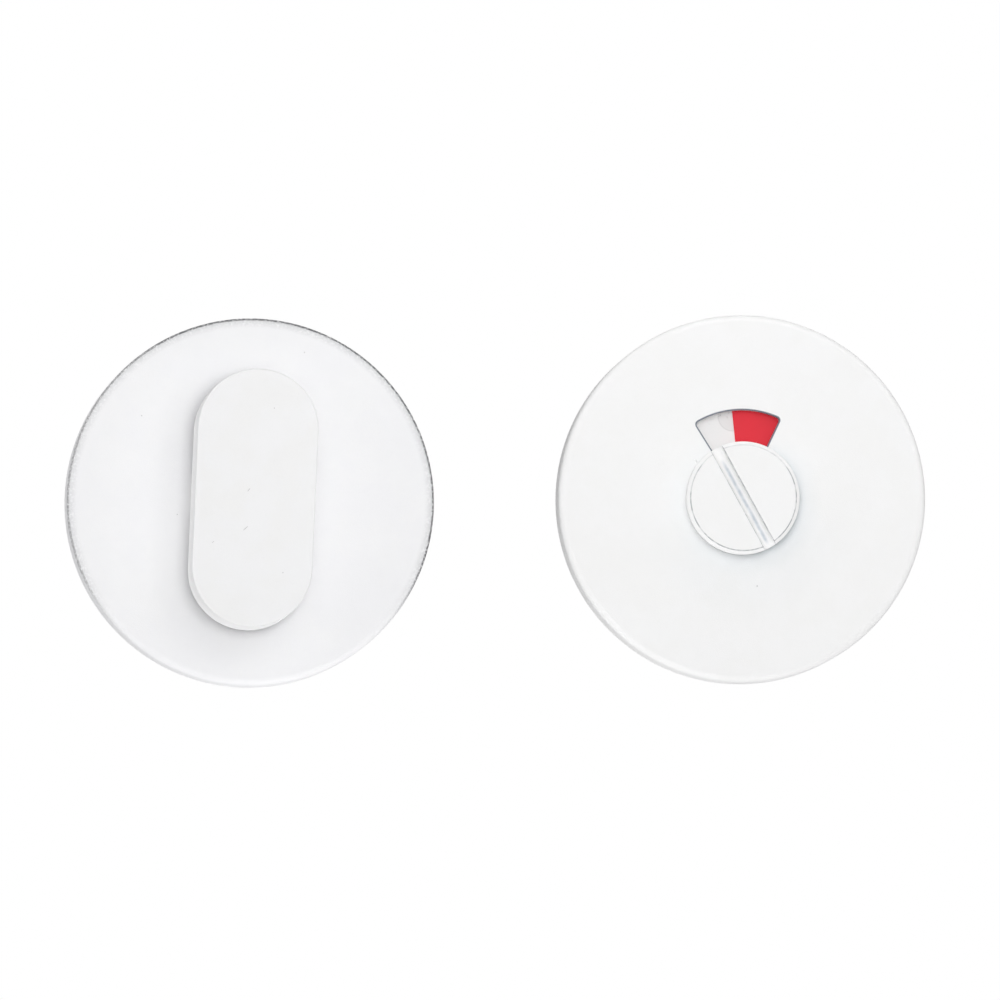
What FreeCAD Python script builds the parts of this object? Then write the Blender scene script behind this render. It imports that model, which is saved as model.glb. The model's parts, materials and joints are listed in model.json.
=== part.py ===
# Bathroom thumb turn lock: the two halves of a privacy lock, side by side as they look from the front.
# The inside half is a thumb turn on a round rose, the outside half a coin release with an indicator.
# Frame: +X to the right, +Z up, -Y out of the door towards the viewer. The door face is the plane Y = 0,
# and the origin is where the thumb turn's axis meets it. "Out" below is the distance in front of the door
# face, and "clock" is an angle in degrees, clockwise from twelve o'clock as the viewer sees it.
import FreeCAD, Part
import math
import os
import re
import Sketcher

# Driving sizes in millimetres and degrees.
SIZES = {
    # both rose covers
    "rose_diameter": 52.0,
    "rose_height": 8.0,
    "rose_edge_radius": 1.0,
    "front_wall": 1.6,
    "skirt_wall": 1.5,
    "rim_gap": 0.2,
    # snap fit of a cover on its base plate
    "snap_height": 2.0,
    "snap_groove_width": 1.2,
    "snap_groove_depth": 0.5,
    "snap_bead_span": 34.0,
    "snap_bead_count": 3,
    "fit_gap": 0.1,
    # base plates
    "fixing_inset": 7.0,
    "lug_diameter": 7.5,
    "lug_length": 8.0,
    "bore_gap": 1.0,
    "base_gap": 0.3,
    "base_lead_in": 0.6,
    "recess_depth": 2.4,
    "recess_span": 34.0,
    "recess_pitch": 45.0,
    "recess_row": 3,
    "recess_wall": 1.6,
    # fixing screws, their washers and the sleeve nuts
    "screw_diameter": 4.0,
    "screw_length": 40.0,
    "screw_gap": 0.2,
    "screw_head_diameter": 7.0,
    "screw_head_height": 1.8,
    "screw_bevel": 0.6,
    "screw_recess_width": 1.0,
    "screw_recess_length": 4.0,
    "screw_recess_depth": 1.0,
    "screw_washer_diameter": 7.8,
    "screw_washer_thickness": 0.5,
    "head_sink": 0.2,
    "sleeve_diameter": 5.6,
    "sleeve_length": 12.0,
    "sleeve_head_diameter": 7.8,
    "sleeve_head_height": 1.2,
    "sleeve_thread_bore": 3.3,
    "sleeve_slot_width": 1.2,
    "sleeve_slot_depth": 0.7,
    # shanks and the square spindle
    "spindle_size": 8.0,
    "spindle_gap": 0.05,
    "spindle_chamfer": 0.6,
    "spindle_engagement": 10.0,
    "door_thickness": 40.0,
    "shank_corner_wall": 1.3,
    "shank_flat_depth": 1.0,
    "shank_tail": 5.0,
    "shank_bevel": 0.5,
    "run_fit": 0.05,
    "run_gap": 0.1,
    "seat_gap": 0.02,
    "pin_diameter": 2.5,
    "pin_wall": 0.5,
    "pin_slit": 0.6,
    "pin_setback": 2.5,
    # retaining rings and curved spring washers
    "clip_thickness": 1.0,
    "clip_groove_depth": 0.4,
    "clip_width": 2.0,
    "clip_offset": 0.3,
    "clip_opening": 2.0,
    "clip_lug_radius": 1.5,
    "clip_eye_radius": 0.8,
    "spring_thickness": 0.3,
    "spring_height": 0.8,
    "spring_width": 2.0,
    # thumb turn
    "travel_angle": 90.0,
    "over_travel_angle": 4.0,
    "turn_lean": 3.0,
    "grip_length": 36.4,
    "grip_width": 17.0,
    "grip_height": 13.0,
    "grip_edge_radius": 0.25,
    "grip_socket": 2.0,
    "bush_wall": 0.9,
    "bush_flange_width": 0.5,
    "bush_flange_thickness": 0.5,
    "hub_wall": 2.4,
    "hub_length": 2.6,
    "stop_washer_thickness": 0.8,
    "stop_tab_reach": 2.5,
    "stop_tab_span": 20.0,
    "stop_rib_span": 10.0,
    "stop_rib_root": 0.2,
    "stop_play": 0.4,
    # release half
    "halves_spacing": 69.6,
    "release_turn": 28.2,
    "button_overhang": 0.95,
    "button_height": 2.5,
    "button_chamfer": 0.5,
    "slot_width": 1.7,
    "slot_depth": 1.5,
    "socket_web": 1.4,
    "slip_washer_thickness": 0.3,
    "slip_washer_inset": 0.3,
    "window_angle": 57.6,
    "window_radius": 12.55,
    "window_lean": 2.7,
    "window_corner_radius": 0.5,
    "disc_overlap": 2.6,
    "disc_thickness": 1.1,
    "disc_hub_height": 0.3,
    "disc_hub_width": 0.85,
    "red_thickness": 0.15,
    "red_margin_angle": 0.6,
    "red_inset": 0.3,
    "mark_radius": 2.0,
    "mark_depth": 0.1,
    "mark_inset": 0.8,
    "stop_lug_span": 12.0,
    "stop_lug_width": 2.0,
    "stop_slot_edge": 2.2,
    "stop_slot_gap": 0.2,
}

# Sizes worked out from the driving ones. Names that end in _out are distances in front of the door face.
DERIVED = {
    # covers and base plates
    "rose_radius": "rose_diameter / 2",
    "skirt_bore": "rose_radius - skirt_wall",
    "cover_back_out": "rose_height - front_wall",
    "groove_low_out": "snap_height - snap_groove_width / 2",
    "groove_high_out": "snap_height + snap_groove_width / 2",
    "base_radius": "skirt_bore - fit_gap",
    "bore_radius": "stop_radius + bore_gap",
    "fixing_radius": "rose_radius - fixing_inset",
    "base_front_out": "disc_back_out - base_gap",
    # fixings
    "head_top_out": "base_front_out - head_sink",
    "screw_head_out": "head_top_out - screw_head_height",
    "screw_seat_out": "screw_head_out - screw_washer_thickness",
    "screw_tip_out": "screw_head_out - screw_length",
    "screw_radius": "screw_diameter / 2",
    "screw_head_radius": "screw_head_diameter / 2",
    "screw_hole_radius": "screw_radius + screw_gap",
    "screw_pocket_radius": "screw_washer_diameter / 2 + fit_gap",
    "sleeve_seat_out": "head_top_out - sleeve_head_height",
    "sleeve_tip_out": "sleeve_seat_out - sleeve_length",
    "sleeve_radius": "sleeve_diameter / 2",
    "sleeve_head_radius": "sleeve_head_diameter / 2",
    "sleeve_bore_radius": "sleeve_thread_bore / 2",
    "sleeve_hole_radius": "sleeve_radius + fit_gap",
    "sleeve_pocket_radius": "sleeve_head_radius + fit_gap",
    # shanks
    "socket_size": "spindle_size + 2 * spindle_gap",
    "shank_radius": "socket_size * sqrt(2) / 2 + shank_corner_wall",
    "clip_radius": "shank_radius - clip_groove_depth",
    "flat_width": "2 * (shank_radius - shank_flat_depth)",
    "pin_out": "pin_setback - shank_tail",
    "spindle_tip_out": "shank_tail - door_thickness - spindle_engagement",
    # turning, with stops that lie a little past the quarter turn
    "swing_angle": "travel_angle + 2 * over_travel_angle",
    # thumb turn stack, from the rose face backwards
    "flange_out": "rose_height + bush_flange_thickness",
    "grip_back_out": "flange_out + run_gap",
    "turn_socket_out": "grip_back_out + grip_socket",
    "shank_hole": "shank_radius + run_fit",
    "bush_radius": "shank_hole + bush_wall",
    "flange_radius": "bush_radius + bush_flange_width",
    "hub_radius": "bush_radius + hub_wall",
    "hub_back_out": "cover_back_out - hub_length",
    "stop_radius": "hub_radius + stop_tab_reach",
    "stop_washer_radius": "hub_radius - 2 * stop_rib_root",
    "stop_washer_out": "hub_back_out - run_gap",
    "turn_spring_out": "stop_washer_out - stop_washer_thickness",
    "turn_clip_out": "turn_spring_out - spring_height",
    "stop_rib_clock": "(swing_angle + stop_tab_span + stop_rib_span) / 2 + stop_play",
    # release stack, from the rose face backwards
    "button_back_out": "rose_height + slip_washer_thickness + run_gap",
    "button_face_out": "button_back_out + button_height",
    "button_radius": "shank_radius + button_overhang",
    "release_socket_out": "button_back_out - socket_web",
    "disc_hub_out": "cover_back_out - run_gap",
    "disc_front_out": "disc_hub_out - disc_hub_height",
    "disc_back_out": "disc_front_out - disc_thickness",
    "disc_radius": "window_radius + disc_overlap",
    "disc_hub_radius": "shank_radius + disc_hub_width",
    "release_clip_out": "disc_back_out - spring_height",
    "red_clock": "window_angle / 2 + red_margin_angle - over_travel_angle - window_lean",
    "stop_slot_radius": "disc_radius - stop_slot_edge",
    "stop_lug_radius": "stop_slot_radius - stop_slot_gap",
    # curved spring washers
    "spring_bore": "shank_radius + fit_gap",
    "spring_radius": "spring_bore + spring_width",
    "spring_bow": "spring_height - 2 * seat_gap - spring_thickness",
    "spring_curve": "(spring_radius ^ 2 + spring_bow ^ 2) / (2 * spring_bow)",
}

FULL_TURN = 360.0
TO_TWELVE = 90.0
SIX_OCLOCK = "180"
CLOSE = 1e-4
CENTRE = FreeCAD.Vector(0, 0, 0)
SKETCH_NORMAL = FreeCAD.Vector(0, 0, 1)
CLOCKWISE = FreeCAD.Rotation(FreeCAD.Vector(0, 1, 0), 1)
TOWARDS_VIEWER = FreeCAD.Rotation(FreeCAD.Vector(1, 0, 0), 90)

doc = FreeCAD.newDocument("bathroom_thumb_turn_lock")
sheet = doc.addObject("Spreadsheet::Sheet", "Sizes")
for row, (alias, value) in enumerate(SIZES.items(), start=1):
    sheet.set(f"A{row}", alias)
    sheet.set(f"B{row}", str(value))
    sheet.setAlias(f"B{row}", alias)
doc.recompute()

sub_parts = []


def formula(text):
    """Write each named size in the text as a reference to the sheet."""
    def reference(match):
        name = match.group()
        if name in DERIVED:
            return "(" + formula(DERIVED[name]) + ")"
        return "Sizes." + name if name in SIZES else name
    return re.sub(r"[a-z_]+", reference, text)


def bind(thing, name, text):
    """Bind a property to a formula on the sheet."""
    thing.setExpression(name, formula(text))


def origin(body, role):
    """Find one of the body's own origin planes or axes."""
    return next(item for item in body.Origin.OriginFeatures if item.Role == role)


def new_body(node):
    """Start a sub-part made by sketches and features."""
    body = doc.addObject("PartDesign::Body", node)
    body.Label = node
    return body


def place(thing, half, lean="0"):
    """Set a sub-part on its half's axis, turned clockwise by its lean, and keep it for writing."""
    thing.Placement = FreeCAD.Placement(CENTRE, CLOCKWISE)
    bind(thing, "Placement.Rotation.Angle", lean)
    if half == "release":
        bind(thing, "Placement.Base.x", "halves_spacing")
    sub_parts.append(thing)


def new_sketch(body, name, role):
    """Make a sketch on one of the body's origin planes."""
    sketch = body.newObject("Sketcher::SketchObject", name)
    sketch.AttachmentSupport = [(origin(body, role), "")]
    sketch.MapMode = "FlatFace"
    return sketch


def face_sketch(body, name, out="0"):
    """Make a sketch that the viewer sees face on, at a distance in front of the door."""
    sketch = new_sketch(body, name, "XZ_Plane")
    bind(sketch, "AttachmentOffset.Base.z", out)
    return sketch


def fix(sketch, geometry, point, across, up):
    """Hold a point of a sketch at its two coordinates."""
    start = sketch.getPoint(geometry, point)
    for kind, value, text in (("DistanceX", start.x, across), ("DistanceY", start.y, up)):
        index = sketch.addConstraint(Sketcher.Constraint(kind, -1, 1, geometry, point, value))
        bind(sketch, f"Constraints[{index}]", text)


def set_radius(sketch, geometry, text):
    """Bind the radius of a circle or an arc."""
    index = sketch.addConstraint(Sketcher.Constraint("Radius", geometry, sketch.Geometry[geometry].Radius))
    bind(sketch, f"Constraints[{index}]", text)


def polygon(sketch, corners):
    """Draw a closed outline of straight lines through corners given as pairs of formulas."""
    first = len(sketch.Geometry)
    count = len(corners)
    spots = [FreeCAD.Vector(number, number * number, 0) for number in range(1, count + 1)]
    for number in range(count):
        sketch.addGeometry(Part.LineSegment(spots[number], spots[(number + 1) % count]), False)
    for number in range(count):
        following = first + (number + 1) % count
        sketch.addConstraint(Sketcher.Constraint("Coincident", first + number, 2, following, 1))
    for number, (across, up) in enumerate(corners):
        fix(sketch, first + number, 1, across, up)


def rectangle(sketch, left, right, low, high):
    """Draw a rectangle between two widths and two heights."""
    polygon(sketch, ((left, low), (right, low), (right, high), (left, high)))


def circle(sketch, radius, across="0", up="0"):
    """Draw a circle."""
    index = sketch.addGeometry(Part.Circle(CENTRE, SKETCH_NORMAL, 1.0), False)
    fix(sketch, index, 3, across, up)
    set_radius(sketch, index, radius)


def rounded_bar(sketch, length, width):
    """Draw an upright bar with half-round ends."""
    tall, round_end = SIZES[length] / 2, SIZES[width] / 2
    middle = tall - round_end
    ends = (Part.Circle(FreeCAD.Vector(0, middle, 0), SKETCH_NORMAL, round_end),
            Part.Circle(FreeCAD.Vector(0, -middle, 0), SKETCH_NORMAL, round_end))
    sketch.addGeometry(Part.ArcOfCircle(ends[0], 0, math.pi), False)
    sketch.addGeometry(Part.LineSegment(FreeCAD.Vector(-round_end, middle, 0),
                                        FreeCAD.Vector(-round_end, -middle, 0)), False)
    sketch.addGeometry(Part.ArcOfCircle(ends[1], math.pi, math.tau), False)
    sketch.addGeometry(Part.LineSegment(FreeCAD.Vector(round_end, -middle, 0),
                                        FreeCAD.Vector(round_end, middle, 0)), False)
    for geometry in range(4):
        sketch.addConstraint(Sketcher.Constraint("Tangent", geometry, 2, (geometry + 1) % 4, 1))
    fix(sketch, 0, 3, "0", f"({length} - {width}) / 2")
    fix(sketch, 2, 3, "0", f"({width} - {length}) / 2")
    set_radius(sketch, 0, f"{width} / 2")
    sketch.addConstraint(Sketcher.Constraint("Equal", 0, 2))


def flatted_circle(sketch, radius, width):
    """Draw a circle with a flat at its left and right."""
    ring = Part.Circle(CENTRE, SKETCH_NORMAL, 2.0)
    corner = FreeCAD.Vector(1.0, math.sqrt(3.0), 0)
    low_right = FreeCAD.Vector(corner.x, -corner.y, 0)
    third = math.pi / 3
    sketch.addGeometry(Part.ArcOfCircle(ring, third, 2 * third), False)
    sketch.addGeometry(Part.LineSegment(FreeCAD.Vector(-corner.x, corner.y, 0), corner * -1), False)
    sketch.addGeometry(Part.ArcOfCircle(ring, 4 * third, 5 * third), False)
    sketch.addGeometry(Part.LineSegment(low_right, corner), False)
    for geometry in range(4):
        sketch.addConstraint(Sketcher.Constraint("Coincident", geometry, 2, (geometry + 1) % 4, 1))
    for geometry in (0, 2):
        sketch.addConstraint(Sketcher.Constraint("Coincident", geometry, 3, -1, 1))
        set_radius(sketch, geometry, radius)
    for geometry, across in ((1, f"-({width}) / 2"), (3, f"({width}) / 2")):
        sketch.addConstraint(Sketcher.Constraint("Vertical", geometry))
        start = sketch.getPoint(geometry, 1)
        index = sketch.addConstraint(Sketcher.Constraint("DistanceX", -1, 1, geometry, 1, start.x))
        bind(sketch, f"Constraints[{index}]", across)


def round_slot(sketch, width, bottom_out, top_out):
    """Draw the section of a slot with a full-round bottom, on the plane seen from above."""
    left, right = FreeCAD.Vector(-1, 0, 0), FreeCAD.Vector(1, 0, 0)
    top_left, top_right = FreeCAD.Vector(-1, -3, 0), FreeCAD.Vector(1, -3, 0)
    sketch.addGeometry(Part.ArcOfCircle(Part.Circle(CENTRE, SKETCH_NORMAL, 1.0), 0, math.pi), False)
    for start, end in ((left, top_left), (top_left, top_right), (top_right, right)):
        sketch.addGeometry(Part.LineSegment(start, end), False)
    for geometry in range(4):
        sketch.addConstraint(Sketcher.Constraint("Coincident", geometry, 2, (geometry + 1) % 4, 1))
    middle = f"-({bottom_out} + {width} / 2)"
    fix(sketch, 1, 1, f"-{width} / 2", middle)
    fix(sketch, 2, 1, f"-{width} / 2", f"-({top_out})")
    fix(sketch, 3, 1, f"{width} / 2", f"-({top_out})")
    fix(sketch, 3, 2, f"{width} / 2", middle)
    index = sketch.addConstraint(Sketcher.Constraint("DistanceY", -1, 1, 0, 3, 0.0))
    bind(sketch, f"Constraints[{index}]", middle)


def feature(body, kind, name, sketch):
    """Add a feature made from a sketch."""
    made = body.newObject("PartDesign::" + kind, name)
    made.Profile = sketch
    return made


def pad(body, name, sketch, length, backwards=False):
    """Pad a sketch out towards the viewer, or backwards."""
    made = feature(body, "Pad", name, sketch)
    bind(made, "Length", length)
    made.Reversed = backwards
    return made


def pocket(body, name, sketch, length, outwards=False):
    """Cut a sketch back into the piece, or outwards from its back."""
    made = feature(body, "Pocket", name, sketch)
    bind(made, "Length", length)
    made.Reversed = outwards
    return made


def pocket_both_ways(body, name, sketch, length):
    """Cut a sketch to both sides of its plane."""
    made = feature(body, "Pocket", name, sketch)
    made.SideType = "Symmetric"
    bind(made, "Length", length)
    return made


def turned(body, name, corners, kind="Revolution", clock=None, span=None, axis_at=None):
    """Turn a section of (radius, out) corners about the half's axis, or about one beside it.

    With a clock angle and a span it makes a sector only; kind "Groove" cuts instead of adding.
    """
    sketch = new_sketch(body, name + "_section", "XY_Plane")
    if clock is not None:
        sketch.AttachmentOffset = FreeCAD.Placement(CENTRE, CLOCKWISE)
        bind(sketch, "AttachmentOffset.Rotation.Angle", f"{clock} - {TO_TWELVE}")
    if axis_at is not None:
        bind(sketch, "AttachmentOffset.Base.x", axis_at)
    polygon(sketch, [(radius, f"-({out})") for radius, out in corners])
    made = feature(body, kind, name, sketch)
    made.ReferenceAxis = (sketch, ["V_Axis"])
    if span is None:
        made.Angle = FULL_TURN
    else:
        bind(made, "Angle", span)
        made.Midplane = True
    return made


def box_section(inner, outer, low_out, high_out):
    """Corners of a rectangular section between two radii and two distances out."""
    return ((inner, low_out), (outer, low_out), (outer, high_out), (inner, high_out))


def repeat(body, name, features, count, angle=FULL_TURN):
    """Repeat features about the half's axis."""
    pattern = body.newObject("PartDesign::PolarPattern", name)
    pattern.Originals = features
    pattern.Axis = (origin(body, "Y_Axis"), [""])
    if isinstance(angle, str):
        bind(pattern, "Angle", angle)
    else:
        pattern.Angle = angle
    if isinstance(count, str):
        bind(pattern, "Occurrences", count)
    else:
        pattern.Occurrences = count
    body.Tip = pattern
    return pattern


def round_edges(body, name, base, edges, radius, kind="Fillet"):
    """Fillet, or chamfer, some edges of the last feature."""
    numbers = [number for number, edge in enumerate(base.Shape.Edges, start=1)
               if any(edge.isSame(picked) for picked in edges)]
    made = body.newObject("PartDesign::" + kind, name)
    made.Base = (base, [f"Edge{number}" for number in numbers])
    bind(made, "Radius" if kind == "Fillet" else "Size", radius)
    return made


def front_edges(base):
    """Edges of a feature that lie in its foremost plane."""
    doc.recompute()
    front = base.Shape.BoundBox.YMin + CLOSE
    return [edge for edge in base.Shape.Edges if edge.BoundBox.YMax < front]


def end_edges(base):
    """Edges of a feature that lie in its foremost or its rearmost plane."""
    doc.recompute()
    back = base.Shape.BoundBox.YMax - CLOSE
    return front_edges(base) + [edge for edge in base.Shape.Edges if edge.BoundBox.YMin > back]


def widest(edges):
    """The edge that reaches furthest across."""
    return [max(edges, key=lambda edge: edge.BoundBox.XLength)]


def shank(body, top_out, clip_out, shoulder_out, socket_out):
    """Add a shank with its ring groove, two flats behind a shoulder and a square socket from its end."""
    turned(body, "shank", (
        ("0", "-shank_tail"), ("shank_radius - shank_bevel", "-shank_tail"),
        ("shank_radius", "shank_bevel - shank_tail"), ("shank_radius", f"{clip_out} - clip_thickness"),
        ("clip_radius", f"{clip_out} - clip_thickness"), ("clip_radius", f"{clip_out} + seat_gap"),
        ("shank_radius", f"{clip_out} + seat_gap"), ("shank_radius", top_out), ("0", top_out)))
    flats = face_sketch(body, "flats_outline", "-shank_tail")
    for near, far in (("flat_width / 2", "2 * shank_radius"), ("-2 * shank_radius", "-flat_width / 2")):
        rectangle(flats, near, far, "-2 * shank_radius", "2 * shank_radius")
    pocket(body, "flats", flats, f"{shoulder_out} + shank_tail", outwards=True)
    square = face_sketch(body, "socket_outline", "-shank_tail")
    rectangle(square, "-socket_size / 2", "socket_size / 2", "-socket_size / 2", "socket_size / 2")
    return pocket(body, "socket", square, f"{socket_out} + shank_tail", outwards=True)


def cross_hole(body):
    """Drill the spring pin's hole across the shank or the spindle."""
    outline = new_sketch(body, "pin_hole_outline", "YZ_Plane")
    circle(outline, "pin_diameter / 2", "-pin_out")
    pocket_both_ways(body, "pin_hole", outline, "4 * shank_radius")


def make_cover(node, half, middle):
    """A rose cover: a cup with a snap groove inside its skirt. Middle gives the section round its hole."""
    body = new_body(node)
    shell = turned(body, "shell", (
        ("skirt_bore", "rim_gap"), ("rose_radius", "rim_gap"), ("rose_radius", "rose_height"), *middle,
        ("skirt_bore", "cover_back_out"), ("skirt_bore", "groove_high_out"),
        ("skirt_bore + snap_groove_depth", "groove_high_out"),
        ("skirt_bore + snap_groove_depth", "groove_low_out"), ("skirt_bore", "groove_low_out")))
    round_edges(body, "front_edge", shell, widest(front_edges(shell)), "rose_edge_radius")
    place(body, half)
    return body


def make_turn_cover():
    """The thumb turn's cover, with the hub for the bush and two ribs that stop the turn."""
    body = make_cover("turn_rose_cover", "turn", (
        ("bush_radius", "rose_height"), ("bush_radius", "hub_back_out"),
        ("hub_radius", "hub_back_out"), ("hub_radius", "cover_back_out")))
    section = box_section("hub_radius - stop_rib_root", "stop_radius", "turn_spring_out", "cover_back_out")
    for name, clock in (("left_rib", "-stop_rib_clock"), ("right_rib", "stop_rib_clock")):
        turned(body, name, section, clock=clock, span="stop_rib_span")


def make_turn_bush():
    """The flanged bush that carries the shank and keeps the grip off the paint."""
    body = new_body("turn_bush")
    turned(body, "bush", (
        ("shank_hole", "hub_back_out"), ("bush_radius", "hub_back_out"), ("bush_radius", "rose_height"),
        ("flange_radius", "rose_height"), ("flange_radius", "flange_out"), ("shank_hole", "flange_out")))
    place(body, "turn")


def make_turn_knob():
    """The grip, neck and shank in one casting."""
    body = new_body("turn_knob")
    outline = face_sketch(body, "grip_outline", "grip_back_out")
    rounded_bar(outline, "grip_length", "grip_width")
    grip = pad(body, "grip", outline, "grip_height")
    round_edges(body, "grip_edges", grip, end_edges(grip), "grip_edge_radius")
    shank(body, "grip_back_out", "turn_clip_out", "stop_washer_out", "turn_socket_out")
    cross_hole(body)
    place(body, "turn", "turn_lean")


def make_turn_stop_washer():
    """The keyed washer whose tab runs between the cover's ribs."""
    body = new_body("turn_stop_washer")
    turned(body, "ring", box_section("0", "stop_washer_radius", "turn_spring_out", "stop_washer_out"))
    turned(body, "tab", box_section("stop_washer_radius - stop_tab_reach", "stop_radius - stop_rib_root",
                                    "turn_spring_out", "stop_washer_out"),
           clock="-travel_angle / 2", span="stop_tab_span")
    key = face_sketch(body, "key_outline", "stop_washer_out")
    flatted_circle(key, "shank_radius + fit_gap", "flat_width + 2 * fit_gap")
    pocket(body, "key", key, "2 * stop_washer_thickness")
    place(body, "turn", "turn_lean")


def make_spring_washer(node, half, front_out, lean):
    """A curved spring washer: a flat ring's outline cut from a bent sheet."""
    ring_parts = []
    for part, radius in (("rim", "spring_radius"), ("hole", "spring_bore")):
        cylinder = doc.addObject("Part::Cylinder", f"{node}_{part}")
        cylinder.Placement = FreeCAD.Placement(CENTRE, TOWARDS_VIEWER)
        bind(cylinder, "Radius", radius)
        bind(cylinder, "Height", "spring_height")
        bind(cylinder, "Placement.Base.y", f"spring_height - ({front_out})")
        ring_parts.append(cylinder)
    sheet_parts = []
    for part, radius in (("outer_bend", "spring_curve + spring_thickness"), ("inner_bend", "spring_curve")):
        cylinder = doc.addObject("Part::Cylinder", f"{node}_{part}")
        bind(cylinder, "Radius", radius)
        bind(cylinder, "Height", "4 * spring_radius")
        bind(cylinder, "Placement.Base.z", "-2 * spring_radius")
        bind(cylinder, "Placement.Base.y", f"spring_curve + spring_thickness + seat_gap - ({front_out})")
        sheet_parts.append(cylinder)
    cuts = []
    for part, (base, tool) in (("ring", ring_parts), ("bent_sheet", sheet_parts)):
        cut = doc.addObject("Part::Cut", f"{node}_{part}")
        cut.Base = base
        cut.Tool = tool
        cuts.append(cut)
    washer = doc.addObject("Part::Common", node)
    washer.Label = node
    washer.Base, washer.Tool = cuts
    place(washer, half, lean)


def make_circlip(node, half, front_out, lean):
    """A retaining ring that is widest opposite its opening, with an eye in each end."""
    body = new_body(node)
    ring = face_sketch(body, "ring_outline", front_out)
    circle(ring, "clip_radius + seat_gap")
    circle(ring, "clip_radius + clip_width - clip_offset", up="-clip_offset")
    pad(body, "ring", ring, "clip_thickness", backwards=True)
    opening = face_sketch(body, "opening_outline", front_out)
    rectangle(opening, "-clip_opening / 2", "clip_opening / 2", "0", "2 * clip_radius")
    pocket(body, "opening", opening, "clip_thickness")
    eye_across, eye_up = "clip_opening / 2 + clip_lug_radius", "clip_radius + clip_lug_radius"
    for name, radius, make in (("ends", "clip_lug_radius", pad), ("eyes", "clip_eye_radius", pocket)):
        outline = face_sketch(body, name + "_outline", front_out)
        circle(outline, radius, f"-({eye_across})", eye_up)
        circle(outline, radius, eye_across, eye_up)
        made = make(body, name, outline, "clip_thickness")
        made.Reversed = make is pad
    place(body, half, lean)


def make_turn_spindle():
    """The square bar that goes through the door into the release half's socket."""
    body = new_body("turn_spindle")
    square = face_sketch(body, "section", "turn_socket_out")
    rectangle(square, "-spindle_size / 2", "spindle_size / 2", "-spindle_size / 2", "spindle_size / 2")
    bar = pad(body, "bar", square, "turn_socket_out - spindle_tip_out", backwards=True)
    round_edges(body, "end_bevels", bar, end_edges(bar), "spindle_chamfer", kind="Chamfer")
    cross_hole(body)
    place(body, "turn", "turn_lean")


def make_turn_spindle_pin():
    """The slotted spring pin that holds the spindle in the shank."""
    body = new_body("turn_spindle_pin")
    tube = new_sketch(body, "tube_section", "YZ_Plane")
    circle(tube, "pin_diameter / 2 - seat_gap", "-pin_out")
    circle(tube, "pin_diameter / 2 - pin_wall", "-pin_out")
    pin = feature(body, "Pad", "tube", tube)
    pin.SideType = "Symmetric"
    bind(pin, "Length", "flat_width - 2 * fit_gap")
    slit = new_sketch(body, "slit_outline", "YZ_Plane")
    rectangle(slit, "-pin_out", "pin_diameter - pin_out", "-pin_slit / 2", "pin_slit / 2")
    pocket_both_ways(body, "slit", slit, "2 * flat_width")
    place(body, "turn", "turn_lean")


def at_fixings(sketch, radius):
    """Draw a circle at each of the two fixing centres."""
    for across in ("-fixing_radius", "fixing_radius"):
        circle(sketch, radius, across)


def make_base_plate(node, half, seat_out, pocket_radius, hole_radius):
    """A moulded plate with snap beads, two support lugs for the door and recesses in its back."""
    body = new_body(node)
    turned(body, "plate", (
        ("bore_radius", "0"), ("base_radius", "0"), ("base_radius", "base_front_out - base_lead_in"),
        ("base_radius - base_lead_in", "base_front_out"), ("bore_radius", "base_front_out")))
    bead = turned(body, "bead", box_section(
        "base_radius - snap_groove_depth", "base_radius + snap_groove_depth",
        "groove_low_out + fit_gap", "groove_high_out - fit_gap"), clock="0", span="snap_bead_span")
    repeat(body, "beads", [bead], "snap_bead_count")
    for name, clock in (("upper_recess", "-recess_pitch"), ("lower_recess", SIX_OCLOCK + " - recess_pitch")):
        recess = turned(body, name, box_section(
            "bore_radius + recess_wall", "base_radius - recess_wall", "-recess_depth", "recess_depth"),
            kind="Groove", clock=clock, span="recess_span")
        repeat(body, name + "_row", [recess], "recess_row", "(recess_row - 1) * recess_pitch")
    lugs = face_sketch(body, "lug_outlines")
    at_fixings(lugs, "lug_diameter / 2")
    pad(body, "lugs", lugs, "lug_length", backwards=True)
    heads = face_sketch(body, "head_pocket_outlines", "base_front_out")
    at_fixings(heads, pocket_radius)
    pocket(body, "head_pockets", heads, f"base_front_out - {seat_out}")
    holes = face_sketch(body, "hole_outlines", seat_out)
    at_fixings(holes, hole_radius)
    body.Tip = pocket(body, "holes", holes, f"{seat_out} + lug_length")
    place(body, half)


def make_turn_screws():
    """The two screws, with a cross recess in the head."""
    body = new_body("turn_fixing_screws")
    screw = turned(body, "screw", (
        ("0", "screw_tip_out"), ("screw_radius - screw_bevel", "screw_tip_out"),
        ("screw_radius", "screw_tip_out + screw_bevel"), ("screw_radius", "screw_head_out"),
        ("screw_head_radius", "screw_head_out"), ("screw_head_radius", "head_top_out - screw_bevel"),
        ("screw_head_radius - screw_bevel", "head_top_out"), ("0", "head_top_out")), axis_at="fixing_radius")
    cross = face_sketch(body, "cross_outline", "head_top_out")
    bind(cross, "AttachmentOffset.Base.x", "fixing_radius")
    near, far = "screw_recess_width / 2", "screw_recess_length / 2"
    minus_near, minus_far = "-" + near, "-" + far
    polygon(cross, (
        (near, near), (far, near), (far, minus_near),
        (near, minus_near), (near, minus_far), (minus_near, minus_far),
        (minus_near, minus_near), (minus_far, minus_near), (minus_far, near),
        (minus_near, near), (minus_near, far), (near, far)))
    recess = pocket(body, "cross", cross, "screw_recess_depth")
    repeat(body, "pair", [screw, recess], 2)
    place(body, "turn")


def make_turn_screw_washers():
    """The two washers under the screw heads."""
    body = new_body("turn_screw_washers")
    washer = turned(body, "washer", box_section(
        "screw_hole_radius", "screw_washer_diameter / 2", "screw_seat_out", "screw_head_out"),
        axis_at="fixing_radius")
    repeat(body, "pair", [washer], 2)
    place(body, "turn")


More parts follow.
